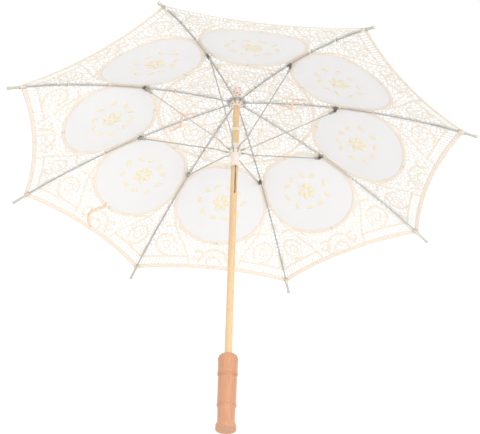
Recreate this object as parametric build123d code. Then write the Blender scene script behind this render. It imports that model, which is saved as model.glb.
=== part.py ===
from build123d import *
import os
from math import asin, atan2, cos, degrees, exp, pi, radians, sin, sqrt

os.makedirs("parts", exist_ok=True)

# A hand-held lace parasol, open. The origin is the middle of the handle's flat end, +Z runs up the
# shaft, and rib 1 points along +X. Lengths are in millimetres and angles in degrees.

# Whole object
RIBS = 8
SECTOR = 360 / RIBS
OPEN_RADIUS = 400.0  # from the shaft's axis to the end of a rib tip
CROWN_Z = 612.4  # height where the lines of the ribs meet on the axis
FINIAL_TOP = 40.0  # finial above the crown

# Shaft, handle and finial, turned wood
SHAFT_R = 5.75
HANDLE_H = 120.4
HANDLE_R = 14.3
HANDLE_BORE_DEPTH = 70.0
TENON_R = 4.0
TENON_TOP = 22.0  # tenon inside the finial, above the crown
SLOT_WIDTH = 2.4
SLOT_TOP = -128.0  # slot for the catch, from the crown
SLOT_FOOT = -196.0
SLOT_DEPTH = 8.2
SLOT_AZIMUTH = 35.0
STOP_Z = -61.4
STOP_R = 7.3
STOP_H = 5.0

# Notch: the slotted ring that carries the rib roots on a wire
NOTCH_R = 11.5
NOTCH_TOP = 1.4
NOTCH_FOOT = -5.0
NOTCH_HUB_R = 8.0
NOTCH_HUB_FOOT = -10.0
RIB_HINGE_R = 8.5
WIRE_R = 0.5
EYE_R = 1.6
EYE_HOLE_R = 0.62
BLADE = 1.2  # thickness of a flattened end
SLIT = 1.8  # slit that a flattened end swings in
PIN_R = 0.8

# Runner: the slotted tube that slides on the shaft
RUNNER_R = 7.3
RUNNER_BORE_R = 6.1
RUNNER_TOP = -92.8
RUNNER_FOOT = -139.8
CROWN_RING_R = 10.5
CROWN_RING_HALF = 5.5
RUNNER_HINGE_R = 8.6
RUNNER_HINGE_Z = -107.0

# Ribs: round steel wire bent to one arc, with a closed metal tip
RIB_WIRE_R = 1.1
RIB_ROOT_SLOPE = 10.9
RIB_BEND_R = 1235.0
RIB_BLADE_LENGTH = 6.0
TIP_SLEEVE_R = 2.7
TIP_NECK_R = 2.3
TIP_BALL_R = 3.1
TIP_LENGTH = 30.0
TIP_SLEEVE_LENGTH = 9.0
TIP_WALL_END = 5.0

# Saddles and stretchers: a stretcher runs beside its rib, so that the two can fold side by side
SADDLE_AT = 173.0  # radius of the saddle on the rib
SADDLE_R = 2.1
SADDLE_LENGTH = 9.0
PIVOT_DROP = 4.2  # rivet below the rib
EAR_R = 2.7
RIVET_R = 0.8
RIVET_HEAD_R = 1.9
STRETCHER_WIRE_R = 1.0
STRETCHER_SIDE = 3.5  # sideways offset from the rib's plane
STRETCHER_BLADE = 8.0
JOG_START = 10.0
JOG_END = 24.0

# Canopy: cotton lace, one curved piece round each rib, cut along the fold in the middle of each gore
CLOTH_THICK = 0.8
CLOTH_OVER_RIB = 3.2
CLOTH_OVER_CROWN = 1.9  # more room over the notch, fading outwards
CLOTH_FADE = 20.0
CLOTH_HOLE_R = 6.3
CORNER_R = 381.0
HEM_MIDDLE_R = 335.0
GORE_DROOP = 7.0
HALF_SECTOR = SECTOR / 2
FOLD_GAP = 0.045  # half the gap at a fold, in degrees

# Closing: how far everything travels from open to closed
RIB_FOLD = 64.5

# Tie strap on the hem of the gore between ribs 6 and 7
STRAP_RIB = 6
STRAP_WIDTH = 6.0
STRAP_THICK = 0.8
STRAP_LENGTH = 34.0
SNAP_R = 4.0
SNAP_H = 2.0


def rib_point(slope):
    """A point (radius, height over the crown) of the rib's line, where it slopes down by slope."""
    root = radians(RIB_ROOT_SLOPE)
    centre_r = RIB_HINGE_R - RIB_BEND_R * sin(root)
    centre_z = -RIB_HINGE_R * sin(root) - RIB_BEND_R * cos(root)
    return centre_r + RIB_BEND_R * sin(radians(slope)), centre_z + RIB_BEND_R * cos(radians(slope))


def rib_slope(radius):
    """How steeply the rib slopes down at a radius, in degrees."""
    centre_r = RIB_HINGE_R - RIB_BEND_R * sin(radians(RIB_ROOT_SLOPE))
    return degrees(asin((radius - centre_r) / RIB_BEND_R))


def rib_height(radius):
    return rib_point(rib_slope(radius))[1]


def at(radius, height, side=0.0):
    """A point in the plane of rib 1, with its height counted from the crown."""
    return Vector(radius, side, CROWN_Z + height)


def rod_along_rib(start_r, end_r, rod_r):
    """A round rod along the rib's arc, between two radii from the axis."""
    slopes = [rib_slope(start_r), (rib_slope(start_r) + rib_slope(end_r)) / 2, rib_slope(end_r)]
    points = [at(*rib_point(s)) for s in slopes]
    path = ThreePointArc(*points)
    section = Plane(origin=points[0], z_dir=path % 0) * Circle(rod_r)
    return sweep(section, path=path)


def cross_rod(radius, height, rod_r, from_side, to_side):
    """A round rod across the rib's plane."""
    plane = Plane(origin=at(radius, height, from_side), x_dir=(1, 0, 0), z_dir=(0, 1, 0))
    return extrude(plane * Circle(rod_r), amount=to_side - from_side)


def link_plate(start, end, width, thickness, middle_side=0.0):
    """A flat plate with round ends between two (radius, height) points of the rib's plane."""
    run_r, run_z = end[0] - start[0], end[1] - start[1]
    middle = at((start[0] + end[0]) / 2, (start[1] + end[1]) / 2, middle_side - thickness / 2)
    plane = Plane(origin=middle, x_dir=(run_r, 0, run_z), z_dir=(0, 1, 0))
    return extrude(plane * SlotCenterToCenter(sqrt(run_r**2 + run_z**2), width), amount=thickness)


def turned(outline):
    """A solid of revolution round the shaft's axis, from (radius, height) corners."""
    return revolve(make_face(Polyline([(r, 0, z) for r, z in outline], close=True)), Axis.Z)


def tube(outer, inner, low, high):
    body = Pos(0, 0, low) * Cylinder(outer, high - low, align=(Align.CENTER, Align.CENTER, Align.MIN))
    bore = Pos(0, 0, low) * Cylinder(inner, high - low, align=(Align.CENTER, Align.CENTER, Align.MIN))
    return body - bore


def save(name, *solids):
    shape = solids[0] if len(solids) == 1 else Compound(children=list(solids))
    export_step(shape, f"parts/{name}.step")


def round_all(name, *solids):
    """The same piece at every rib, as name_1 to name_8."""
    for k in range(RIBS):
        turn = Rot(0, 0, k * SECTOR)
        save(f"{name}_{k + 1}", *[turn * s for s in solids])


# ---- Shaft with its tenon and the slot for the catch ------------------------------------------
shaft_foot = HANDLE_H - HANDLE_BORE_DEPTH
shaft = turned(
    [
        (0, shaft_foot),
        (SHAFT_R, shaft_foot),
        (SHAFT_R, CROWN_Z + NOTCH_TOP + 0.2),
        (TENON_R, CROWN_Z + NOTCH_TOP + 0.8),
        (TENON_R, CROWN_Z + TENON_TOP),
        (0, CROWN_Z + TENON_TOP),
    ]
)
slot_middle = CROWN_Z + (SLOT_TOP + SLOT_FOOT) / 2
slot = Pos(SHAFT_R - SLOT_DEPTH / 2 + 1, 0, slot_middle) * Box(
    SLOT_DEPTH + 2, SLOT_WIDTH, SLOT_TOP - SLOT_FOOT
)
notch_pin = Plane(origin=(0, -NOTCH_HUB_R + 0.2, CROWN_Z - 7.5), z_dir=(0, 1, 0)) * Circle(PIN_R)
notch_pin = extrude(notch_pin, amount=2 * NOTCH_HUB_R - 0.4)
shaft = shaft - Rot(0, 0, SLOT_AZIMUTH) * slot - notch_pin
save("shaft", shaft)
save("notch_pin", notch_pin)

# ---- Handle: a collar with a bead at each end, a neck, a rimmed body and a flange at the foot ------
handle_profile = [
    (0, 0),
    (HANDLE_R + 0.7, 0),
    (HANDLE_R + 1.1, 1.4),
    (HANDLE_R + 1.1, 6.0),
    (HANDLE_R + 0.2, 8.6),
    (HANDLE_R - 1.1, 12.0),
    (HANDLE_R - 1.4, 15.0),
    (HANDLE_R - 1.1, HANDLE_H - 84.5),
    (HANDLE_R + 0.3, HANDLE_H - 83.0),
    (HANDLE_R + 0.3, HANDLE_H - 80.5),
    (HANDLE_R - 0.2, HANDLE_H - 76.0),
    (HANDLE_R - 0.3, HANDLE_H - 60.0),
    (HANDLE_R, HANDLE_H - 41.0),
    (HANDLE_R - 0.2, HANDLE_H - 38.5),
    (HANDLE_R - 1.4, HANDLE_H - 36.8),
    (HANDLE_R - 1.4, HANDLE_H - 35.4),
    (HANDLE_R + 0.7, HANDLE_H - 33.2),
    (HANDLE_R + 1.1, HANDLE_H - 31.0),
    (HANDLE_R + 1.0, HANDLE_H - 28.5),
    (HANDLE_R + 0.5, HANDLE_H - 26.0),
    (HANDLE_R + 0.5, HANDLE_H - 14.0),
    (HANDLE_R + 1.0, HANDLE_H - 9.5),
    (HANDLE_R + 1.0, HANDLE_H - 6.5),
    (HANDLE_R - 0.2, HANDLE_H - 2.8),
    (HANDLE_R - 2.8, HANDLE_H - 0.7),
    (HANDLE_R - 5.0, HANDLE_H),
    (SHAFT_R, HANDLE_H),
    (SHAFT_R, shaft_foot),
    (0, shaft_foot),
]
save("handle", turned(handle_profile))

# ---- Finial: neck, bead and nub on the shaft's tenon --------------------------------------------
FINIAL_FOOT = 4.2
BEAD_Z = 26.0
BEAD_R = 9.4
finial_neck = turned(
    [
        (TENON_R, CROWN_Z + FINIAL_FOOT),
        (9.0, CROWN_Z + FINIAL_FOOT),
        (9.4, CROWN_Z + 5.6),
        (8.6, CROWN_Z + 7.6),
        (6.0, CROWN_Z + 10.6),
        (5.8, CROWN_Z + 16.0),
        (6.6, CROWN_Z + 20.0),
        (6.6, CROWN_Z + BEAD_Z),
        (0, CROWN_Z + BEAD_Z),
        (0, CROWN_Z + TENON_TOP),
        (TENON_R, CROWN_Z + TENON_TOP),
    ]
)
tenon_room = Pos(0, 0, CROWN_Z + TENON_TOP / 2) * Cylinder(TENON_R, TENON_TOP)
finial_bead = Pos(0, 0, CROWN_Z + BEAD_Z) * Sphere(BEAD_R) - tenon_room
NUB_R = 3.2
finial_nub = Pos(0, 0, CROWN_Z + FINIAL_TOP - NUB_R) * Sphere(NUB_R)
nub_stem = Pos(0, 0, CROWN_Z + BEAD_Z) * Cylinder(
    2.4, FINIAL_TOP - NUB_R - BEAD_Z, align=(Align.CENTER, Align.CENTER, Align.MIN)
)
save("finial", finial_neck + finial_bead + finial_nub + nub_stem)

# ---- Stop ring: the collar that the runner can't pass ------------------------------------------
stop_groove = tube(STOP_R + 1, STOP_R - 0.7, CROWN_Z + STOP_Z - 0.6, CROWN_Z + STOP_Z + 0.6)
stop_low = CROWN_Z + STOP_Z - STOP_H / 2
save("stop_ring", tube(STOP_R, SHAFT_R, stop_low, stop_low + STOP_H) - stop_groove)


def slotted_ring(ring_r, low, high, hinge_r, hinge_z, slit_from):
    """A ring with a slit for each flattened wire end and a groove in its rim for the wire through them."""
    ring = tube(ring_r, slit_from - 0.1, CROWN_Z + low, CROWN_Z + high)
    groove = tube(
        ring_r + 1,
        hinge_r - WIRE_R - 0.1,
        CROWN_Z + hinge_z - WIRE_R - 0.15,
        CROWN_Z + hinge_z + WIRE_R + 0.15,
    )
    ring = ring - groove
    for k in range(RIBS):
        slit = Pos(slit_from + 6, 0, CROWN_Z + (low + high) / 2) * Box(12, SLIT, high - low + 2)
        ring = ring - Rot(0, 0, k * SECTOR) * slit
    return ring


def wire_ring(hinge_r, hinge_z):
    return Pos(0, 0, CROWN_Z + hinge_z) * Torus(hinge_r, WIRE_R)


# ---- Notch and its wire ---------------------------------------------------------------------------
rib_hinge_z = rib_height(RIB_HINGE_R)
notch_slit_from = RIB_HINGE_R - EYE_R - 0.2
notch = slotted_ring(NOTCH_R, NOTCH_FOOT, NOTCH_TOP, RIB_HINGE_R, rib_hinge_z, notch_slit_from)
notch = notch + tube(notch_slit_from, SHAFT_R, CROWN_Z + NOTCH_FOOT, CROWN_Z + NOTCH_TOP)
notch = notch + tube(NOTCH_HUB_R, SHAFT_R, CROWN_Z + NOTCH_HUB_FOOT, CROWN_Z + NOTCH_FOOT)
for k in range(RIBS):
    root_room = Pos(RIB_HINGE_R + 3, 0, CROWN_Z + NOTCH_FOOT) * Box(8, SLIT, 4)
    notch = notch - Rot(0, 0, k * SECTOR) * root_room
notch = notch - notch_pin
save("notch", notch)
save("notch_wire", wire_ring(RIB_HINGE_R, rib_hinge_z))

# ---- Runner and its wire ---------------------------------------------------------------------------
runner_slit_from = RUNNER_HINGE_R - EYE_R - 0.2
runner = slotted_ring(
    CROWN_RING_R,
    RUNNER_HINGE_Z - CROWN_RING_HALF,
    RUNNER_HINGE_Z + CROWN_RING_HALF,
    RUNNER_HINGE_R,
    RUNNER_HINGE_Z,
    runner_slit_from,
)
runner = runner + tube(
    runner_slit_from,
    RUNNER_BORE_R,
    CROWN_Z + RUNNER_HINGE_Z - CROWN_RING_HALF,
    CROWN_Z + RUNNER_HINGE_Z + CROWN_RING_HALF,
)
runner = runner + tube(
    RUNNER_R, RUNNER_BORE_R, CROWN_Z + RUNNER_HINGE_Z + CROWN_RING_HALF, CROWN_Z + RUNNER_TOP
)
runner = runner + tube(
    RUNNER_R, RUNNER_BORE_R, CROWN_Z + RUNNER_FOOT, CROWN_Z + RUNNER_HINGE_Z - CROWN_RING_HALF
)
FOOT_BEAD_R = 8.1
FOOT_BEAD_H = 3.0
runner = runner + tube(
    FOOT_BEAD_R, RUNNER_BORE_R, CROWN_Z + RUNNER_FOOT, CROWN_Z + RUNNER_FOOT + FOOT_BEAD_H
)
save("runner", runner)
save("runner_wire", wire_ring(RUNNER_HINGE_R, RUNNER_HINGE_Z))

# ---- Catch: a bent spring wire in the slot, with its nose under the runner ------------------------
CATCH_WIRE_R = 0.6
catch_line = [
    at(3.5, SLOT_FOOT + 4),
    at(4.4, RUNNER_FOOT - 13),
    at(8.2, RUNNER_FOOT - 5.5),
    at(8.4, RUNNER_FOOT - 1.6),
    at(4.2, RUNNER_FOOT - 0.9),
    at(3.6, RUNNER_FOOT + 7),
]
catch_path = FilletPolyline(*catch_line, radius=[3.0, 1.2, 1.0, 1.0])
catch = sweep(Plane(origin=catch_path @ 0, z_dir=catch_path % 0) * Circle(CATCH_WIRE_R), path=catch_path)
save("catch_spring", Rot(0, 0, SLOT_AZIMUTH) * catch)

# ---- Ribs and their tips ---------------------------------------------------------------------------
wire_start = RIB_HINGE_R + RIB_BLADE_LENGTH
rib_wire = rod_along_rib(wire_start - 1.0, OPEN_RADIUS - TIP_WALL_END, RIB_WIRE_R)
rib_blade = link_plate(
    (RIB_HINGE_R, rib_hinge_z), (wire_start + 2, rib_height(wire_start + 2)), 2 * EYE_R, BLADE
)
rib = rib_wire + rib_blade - cross_rod(RIB_HINGE_R, rib_hinge_z, EYE_HOLE_R, -2, 2)
tip_start, ball_at = OPEN_RADIUS - TIP_LENGTH, OPEN_RADIUS - TIP_BALL_R
tip = rod_along_rib(tip_start, tip_start + TIP_SLEEVE_LENGTH, TIP_SLEEVE_R)
tip = tip + rod_along_rib(tip_start + TIP_SLEEVE_LENGTH - 1, ball_at, TIP_NECK_R)
tip = tip + Pos(*at(ball_at, rib_height(ball_at))) * Sphere(TIP_BALL_R) - rib_wire
round_all("rib", rib)
round_all("rib_tip", tip)

# ---- Saddles: a sleeve clenched on the rib with an ear below it, and the rivet in the ear -----------
saddle_slope = radians(rib_slope(SADDLE_AT))
saddle_z = rib_height(SADDLE_AT)
pivot = (
    SADDLE_AT - PIVOT_DROP * sin(saddle_slope),
    saddle_z - PIVOT_DROP * cos(saddle_slope),
)
half_saddle = SADDLE_LENGTH / 2 * cos(saddle_slope)
sleeve = rod_along_rib(SADDLE_AT - half_saddle, SADDLE_AT + half_saddle, SADDLE_R) - rib_wire
EAR_MIDDLE = 1.5
ear = link_plate((SADDLE_AT, saddle_z), pivot, 2 * EAR_R, BLADE, EAR_MIDDLE) - rib_wire
rivet_hole = cross_rod(*pivot, RIVET_R, -3, 3)
saddle = sleeve + ear - rivet_hole
ear_inner, ear_outer = EAR_MIDDLE - BLADE / 2, EAR_MIDDLE + BLADE / 2
rivet = cross_rod(*pivot, RIVET_R, ear_inner, ear_outer)
rivet = rivet + cross_rod(*pivot, RIVET_HEAD_R, ear_inner - 0.8, ear_inner)
round_all("rib_saddle", saddle, rivet)

# ---- Stretchers: flattened at both ends, jogged sideways near the runner -----------------------------
foot = (RUNNER_HINGE_R, RUNNER_HINGE_Z)
reach_r, reach_z = pivot[0] - foot[0], pivot[1] - foot[1]
stretcher_length = sqrt(reach_r**2 + reach_z**2)
stretcher_rise = atan2(reach_z, reach_r)


def on_stretcher(along, side=0.0):
    return at(foot[0] + along * cos(stretcher_rise), foot[1] + along * sin(stretcher_rise), side)


def stretcher_plane_point(along):
    return foot[0] + along * cos(stretcher_rise), foot[1] + along * sin(stretcher_rise)


wire_path = FilletPolyline(
    on_stretcher(STRETCHER_BLADE - 2),
    on_stretcher(JOG_START + 2),
    on_stretcher(JOG_END, STRETCHER_SIDE),
    on_stretcher(stretcher_length - 5, STRETCHER_SIDE),
    radius=[12.0, 12.0],
)
stretcher = sweep(
    Plane(origin=wire_path @ 0, z_dir=wire_path % 0) * Circle(STRETCHER_WIRE_R), path=wire_path
)
stretcher = stretcher + link_plate(foot, stretcher_plane_point(STRETCHER_BLADE), 2 * EYE_R, BLADE)
stretcher = stretcher - cross_rod(*foot, EYE_HOLE_R, -2, 2)
END_PLATE_SIDE = 3.2
stretcher = stretcher + link_plate(
    stretcher_plane_point(stretcher_length - 9), pivot, 2 * EAR_R, 1.4, END_PLATE_SIDE
)
end_plate_outer = END_PLATE_SIDE + 0.7
stretcher = stretcher + cross_rod(*pivot, RIVET_HEAD_R, end_plate_outer - 0.2, end_plate_outer + 0.9)
round_all("stretcher", stretcher)


# ---- Canopy -----------------------------------------------------------------------------------------
def cloth_height(radius, azimuth):
    """Underside of the cloth: taut between two ribs, so level lines are nearly straight from rib to rib,
    with a droop that grows towards the hem. azimuth is counted from the rib."""
    from_fold = radians(HALF_SECTOR - azimuth)
    rib_r = radius * cos(from_fold) / cos(radians(HALF_SECTOR))
    droop = GORE_DROOP * (radius / HEM_MIDDLE_R) ** 2 * sin(pi / 2 * azimuth / HALF_SECTOR)
    room = CLOTH_OVER_RIB + CLOTH_OVER_CROWN * exp(-radius / CLOTH_FADE)
    return rib_height(rib_r) + room - droop


corner_u = CORNER_R * cos(radians(HALF_SECTOR))
corner_v = CORNER_R * sin(radians(HALF_SECTOR))
hem_dip = corner_u - HEM_MIDDLE_R
HEM_ARC_R = (corner_v**2 + hem_dip**2) / (2 * hem_dip)
hem_centre = HEM_MIDDLE_R + HEM_ARC_R


def hem_radius(azimuth):
    """The hem from corner to corner is one arc in plan, hollow between the ribs."""
    c = hem_centre * cos(radians(HALF_SECTOR - azimuth))
    return c - sqrt(c**2 - hem_centre**2 + HEM_ARC_R**2)


def gore_half():
    """The cloth from a rib to the fold beside it."""
    last = HALF_SECTOR - FOLD_GAP
    grid = []
    for i in range(15):
        row = []
        for j in range(9):
            azimuth = last * j / 8
            radius = CLOTH_HOLE_R + (hem_radius(azimuth) - CLOTH_HOLE_R) * (i / 14) ** 1.15
            z = CROWN_Z + cloth_height(radius, azimuth)
            row.append(Vector(radius * cos(radians(azimuth)), radius * sin(radians(azimuth)), z))
        grid.append(row)
    face = Face.make_surface_from_array_of_points(grid, tol=0.005, min_deg=3, max_deg=6)
    return Solid.extrude(face, Vector(0, 0, CLOTH_THICK))


half = gore_half()
round_all("canopy_cloth", half + mirror(half, about=Plane.XZ))

# ---- Tie strap under the hem, and its snap -------------------------------------------------------------
STRAP_AZIMUTH = HALF_SECTOR - 2.2
strap_r = hem_radius(STRAP_AZIMUTH) - 3
inner_r = strap_r - STRAP_LENGTH
outer_z, inner_z = cloth_height(strap_r, STRAP_AZIMUTH), cloth_height(inner_r, STRAP_AZIMUTH)
strap_drop = 1.9
strap_start = Vector(strap_r, 0, CROWN_Z + outer_z - strap_drop)
strap_run = Vector(inner_r - strap_r, 0, inner_z - outer_z)
strap_plane = Plane(origin=strap_start, x_dir=strap_run, z_dir=Vector(0, 1, 0).cross(strap_run))
strap_curve = ThreePointArc((0, 0), (STRAP_LENGTH * 0.45, -3.2), (STRAP_LENGTH, 1.5))
strap_shape = trace(strap_curve, STRAP_WIDTH)
strap_turn = Rot(0, 0, (STRAP_RIB - 1) * SECTOR + STRAP_AZIMUTH)
strap = extrude(strap_plane * strap_shape, amount=STRAP_THICK, both=False)
save("tie_strap", strap_turn * strap)
snap_place = strap_plane * Pos(STRAP_LENGTH - 3, 1.1, 0)
snap_disc = Cylinder(SNAP_R, SNAP_H, align=(Align.CENTER, Align.CENTER, Align.MIN))
strap_normal_up = strap_plane.z_dir.Z > 0
snap_side = -SNAP_H if strap_normal_up else STRAP_THICK
save("strap_snap", strap_turn * (snap_place * (Pos(0, 0, snap_side) * snap_disc)))

print("rib hinge", RIB_HINGE_R, round(CROWN_Z + rib_hinge_z, 3), "tip z", round(rib_height(OPEN_RADIUS), 2))
print("pivot", [round(x, 3) for x in pivot], "stretcher length", round(stretcher_length, 3))
fold = radians(RIB_FOLD)
pivot_dr, pivot_dz = pivot[0] - RIB_HINGE_R, pivot[1] - rib_hinge_z
closed_r = RIB_HINGE_R + pivot_dr * cos(fold) + pivot_dz * sin(fold)
closed_z = rib_hinge_z - pivot_dr * sin(fold) + pivot_dz * cos(fold)
closed_rise = sqrt(stretcher_length**2 - (closed_r - RUNNER_HINGE_R) ** 2)
travel = RUNNER_HINGE_Z - (closed_z - closed_rise)
turn = atan2(closed_rise, closed_r - RUNNER_HINGE_R) - stretcher_rise
print("runner travel", round(travel, 3), "stretcher turn", round(degrees(turn), 3))
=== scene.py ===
import bpy
import numpy as np
from mathutils import Matrix, Vector


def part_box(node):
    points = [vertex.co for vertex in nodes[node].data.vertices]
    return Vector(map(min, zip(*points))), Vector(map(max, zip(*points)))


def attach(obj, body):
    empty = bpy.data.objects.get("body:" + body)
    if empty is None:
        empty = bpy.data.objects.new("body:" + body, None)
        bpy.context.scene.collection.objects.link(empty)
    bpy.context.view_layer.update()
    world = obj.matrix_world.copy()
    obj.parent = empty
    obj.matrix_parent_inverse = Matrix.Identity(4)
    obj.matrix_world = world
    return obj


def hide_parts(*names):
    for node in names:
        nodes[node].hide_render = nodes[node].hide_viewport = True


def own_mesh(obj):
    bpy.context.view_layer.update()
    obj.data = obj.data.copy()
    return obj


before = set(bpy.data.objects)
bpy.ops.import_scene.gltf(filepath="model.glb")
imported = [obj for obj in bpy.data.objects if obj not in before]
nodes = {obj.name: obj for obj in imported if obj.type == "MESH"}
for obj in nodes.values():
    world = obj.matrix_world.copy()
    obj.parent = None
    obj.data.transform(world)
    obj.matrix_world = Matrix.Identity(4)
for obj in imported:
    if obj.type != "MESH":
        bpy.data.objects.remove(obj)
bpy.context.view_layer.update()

# ---- Shaft ---------------------------------------------------------------------------------------
# A pale ramin dowel, turned, sanded and left almost bare, with the slot for the catch sawn into it.
# Its fibres run straight up the shaft in thin darker streaks, and a thin varnish gives it a soft shine.
RAMIN = "#e6c9a0"
RAMIN_STREAK = "#cfa677"
SHAFT_FIBRE = 0.9  # mm across a streak, coarser than a real one, which is too fine to show
GRAIN_STRETCH = 16
MM_IN_METRE = 1000  # a noise pattern's scale is this over its size in mm


def linear(shade):
    """An sRGB hex colour as linear RGBA: each channel c gives ((c + 0.055) / 1.055) ** 2.4, or c / 12.92
    if it is dark."""
    c = np.array([int(shade[i : i + 2], 16) / 255 for i in (1, 3, 5)])
    c = np.where(c <= 0.04045, c / 12.92, ((c + 0.055) / 1.055) ** 2.4)
    return (*c.tolist(), 1.0)


def finish(name, shade, roughness, **constants):
    """A material whose Principled shader has these constants. Underscores stand for a socket's spaces."""
    made = bpy.data.materials.new(name)
    made.use_nodes = True
    shader = made.node_tree.nodes["Principled BSDF"]
    shader.inputs["Base Color"].default_value = linear(shade)
    shader.inputs["Roughness"].default_value = roughness
    for socket, value in constants.items():
        shader.inputs[socket.replace("_", " ")].default_value = value
    return made


def add(made, kind, sockets, **settings):
    """Adds a node with its settings. A socket takes a number, a colour, or the output that feeds it."""
    node = made.node_tree.nodes.new("ShaderNode" + kind)
    for setting, value in settings.items():
        setattr(node, setting, value)
    for socket, value in sockets.items():
        if isinstance(value, bpy.types.NodeSocket):
            made.node_tree.links.new(value, node.inputs[socket])
        else:
            node.inputs[socket].default_value = value
    return node


def feed(made, **outputs):
    """Links outputs to the sockets of the material's Principled shader."""
    shader = made.node_tree.nodes["Principled BSDF"]
    for socket, output in outputs.items():
        made.node_tree.links.new(output, shader.inputs[socket.replace("_", " ")])


def dress(made, *names):
    """Gives CAD nodes a material in their own slots."""
    for name in names:
        for place in nodes[name].material_slots:
            place.material = made


def turned_wood(name, pale, streak, fibre, roughness, blotch):
    """Wood along its grain: a noise drawn out up the shaft makes the fibres, fibre mm across, and a softer
    one makes the tone, blotch mm across. The darker of the two shows."""
    made = finish(name, pale, roughness, Coat_Weight=0.12, Coat_Roughness=0.35)
    place = add(made, "TexCoord", {}).outputs["Object"]
    along = add(made, "Mapping", {"Vector": place, "Scale": (1, 1, 1 / GRAIN_STRETCH)}).outputs[0]
    scale = MM_IN_METRE / fibre
    fibres = add(made, "TexNoise", {"Vector": along, "Scale": scale, "Detail": 5, "Roughness": 0.6})
    tone = add(made, "TexNoise", {"Vector": along, "Scale": MM_IN_METRE / blotch, "Detail": 2})
    streaks = add(made, "MapRange", {"Value": fibres.outputs[0], "From Min": 0.42, "From Max": 0.72})
    soft_range = {"From Min": 0.35, "From Max": 0.7, "To Max": 0.55}
    tones = add(made, "MapRange", {"Value": tone.outputs[0], **soft_range})
    darker = add(made, "Math", {0: streaks.outputs[0], 1: tones.outputs[0]}, operation="MAXIMUM")
    colour = add(made, "Mix", {0: darker.outputs[0], 6: linear(pale), 7: linear(streak)}, data_type="RGBA")
    bump = add(made, "Bump", {"Height": fibres.outputs[0], "Strength": 0.25, "Distance": 0.0002})
    feed(made, Base_Color=colour.outputs[2], Normal=bump.outputs[0])
    return made


ramin = turned_wood("ramin, turned and varnished", RAMIN, RAMIN_STREAK, SHAFT_FIBRE, roughness=0.42, blotch=9)
dress(ramin, "shaft")

# ---- Handle and finial ---------------------------------------------------------------------------
# Turned beech, pinker than the shaft, sanded smooth and waxed.
# Beech shows short brown flecks along its grain, so its streaks are shorter and closer than the shaft's.
BEECH = "#d29c79"
BEECH_FLECK = "#b67c58"
FLECK = 1.4  # mm across
beech = turned_wood("beech, turned and waxed", BEECH, BEECH_FLECK, FLECK, roughness=0.38, blotch=14)
dress(beech, "handle", "finial")

# ---- Notch, runner and stop ring -----------------------------------------------------------------
# The notch holds the rib roots and the runner the stretcher roots; both are moulded in cream plastic.
# The moulding is smooth and slightly shiny, with a faint unevenness from the tool, and the stop ring matches.
CREAM_PLASTIC = "#efe6dc"
MOULD_WAVE = 2.5  # mm


def moulded(name, shade, roughness):
    """Injection-moulded plastic: one colour, a tenth darker in places, with a shallow noise as its
    uneven surface."""
    made = finish(name, shade, roughness, Subsurface_Weight=0.1, Subsurface_Scale=0.002)
    place = add(made, "TexCoord", {}).outputs["Object"]
    waves = add(made, "TexNoise", {"Vector": place, "Scale": MM_IN_METRE / MOULD_WAVE, "Detail": 3})
    darker = [0.9 * c for c in linear(shade)[:3]]
    colour = add(made, "Mix", {0: waves.outputs[0], 6: linear(shade), 7: (*darker, 1)}, data_type="RGBA")
    bump = add(made, "Bump", {"Height": waves.outputs[0], "Strength": 0.15, "Distance": 0.0002})
    feed(made, Base_Color=colour.outputs[2], Normal=bump.outputs[0])
    return made


cream_plastic = moulded("ABS, moulded", CREAM_PLASTIC, 0.38)
dress(cream_plastic, "notch", "runner", "stop_ring")

# ---- Steel work: ribs, stretchers, saddles, wires, catch and tips --------------------------------
# Drawn steel wire, plated with nickel; the saddles are pressed from sheet and the tips are closed caps.
# Drawing leaves fine lines along the wire, and the plating is a little uneven, so the gloss breaks up.
WIRE_NICKEL = "#b3b0ad"
# The saddles' nickel is darker than the wire's: painted shade, for the shadow they sit in.
SADDLE_NICKEL_IN_SHADE = "#7d7c7a"
CAP_NICKEL = "#bdbcb4"
DRAWN_LINE = 0.8  # mm
PLATE_CLOUD = 7  # mm


def plated(name, shade, roughness, metallic):
    """Nickel plate: a fine noise changes the roughness, and a coarser one the tone by up to a quarter."""
    made = finish(name, shade, roughness, Metallic=metallic)
    place = add(made, "TexCoord", {}).outputs["Object"]
    fine = add(made, "TexNoise", {"Vector": place, "Scale": MM_IN_METRE / DRAWN_LINE, "Detail": 4})
    broad = add(made, "TexNoise", {"Vector": place, "Scale": MM_IN_METRE / PLATE_CLOUD, "Detail": 2})
    uneven = {"To Min": roughness - 0.1, "To Max": roughness + 0.15}
    rough = add(made, "MapRange", {"Value": fine.outputs[0], **uneven})
    paler = [min(1.0, 1.25 * c) for c in linear(shade)[:3]]
    colour = add(made, "Mix", {0: broad.outputs[0], 6: linear(shade), 7: (*paler, 1)}, data_type="RGBA")
    bump = add(made, "Bump", {"Height": fine.outputs[0], "Strength": 0.1, "Distance": 0.0001})
    feed(made, Base_Color=colour.outputs[2], Roughness=rough.outputs[0], Normal=bump.outputs[0])
    return made


RIBS = 8
rib_numbers = range(1, RIBS + 1)
wire_plate = plated("steel wire, drawn and nickel-plated", WIRE_NICKEL, roughness=0.36, metallic=0.85)
dress(wire_plate, *[f"rib_{k}" for k in rib_numbers], *[f"stretcher_{k}" for k in rib_numbers])
dress(wire_plate, "notch_wire", "runner_wire", "notch_pin", "catch_spring")
# The saddles take the darker nickel, which is painted shade.
shaded_saddle_plate = plated("steel sheet, pressed and nickel-plated, painted shade", SADDLE_NICKEL_IN_SHADE, roughness=0.32, metallic=0.9)
dress(shaded_saddle_plate, *[f"rib_saddle_{k}" for k in rib_numbers])
cap_plate = plated("steel cap, drawn and satin nickel", CAP_NICKEL, roughness=0.4, metallic=0.7)
dress(cap_plate, *[f"rib_tip_{k}" for k in rib_numbers])

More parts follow.
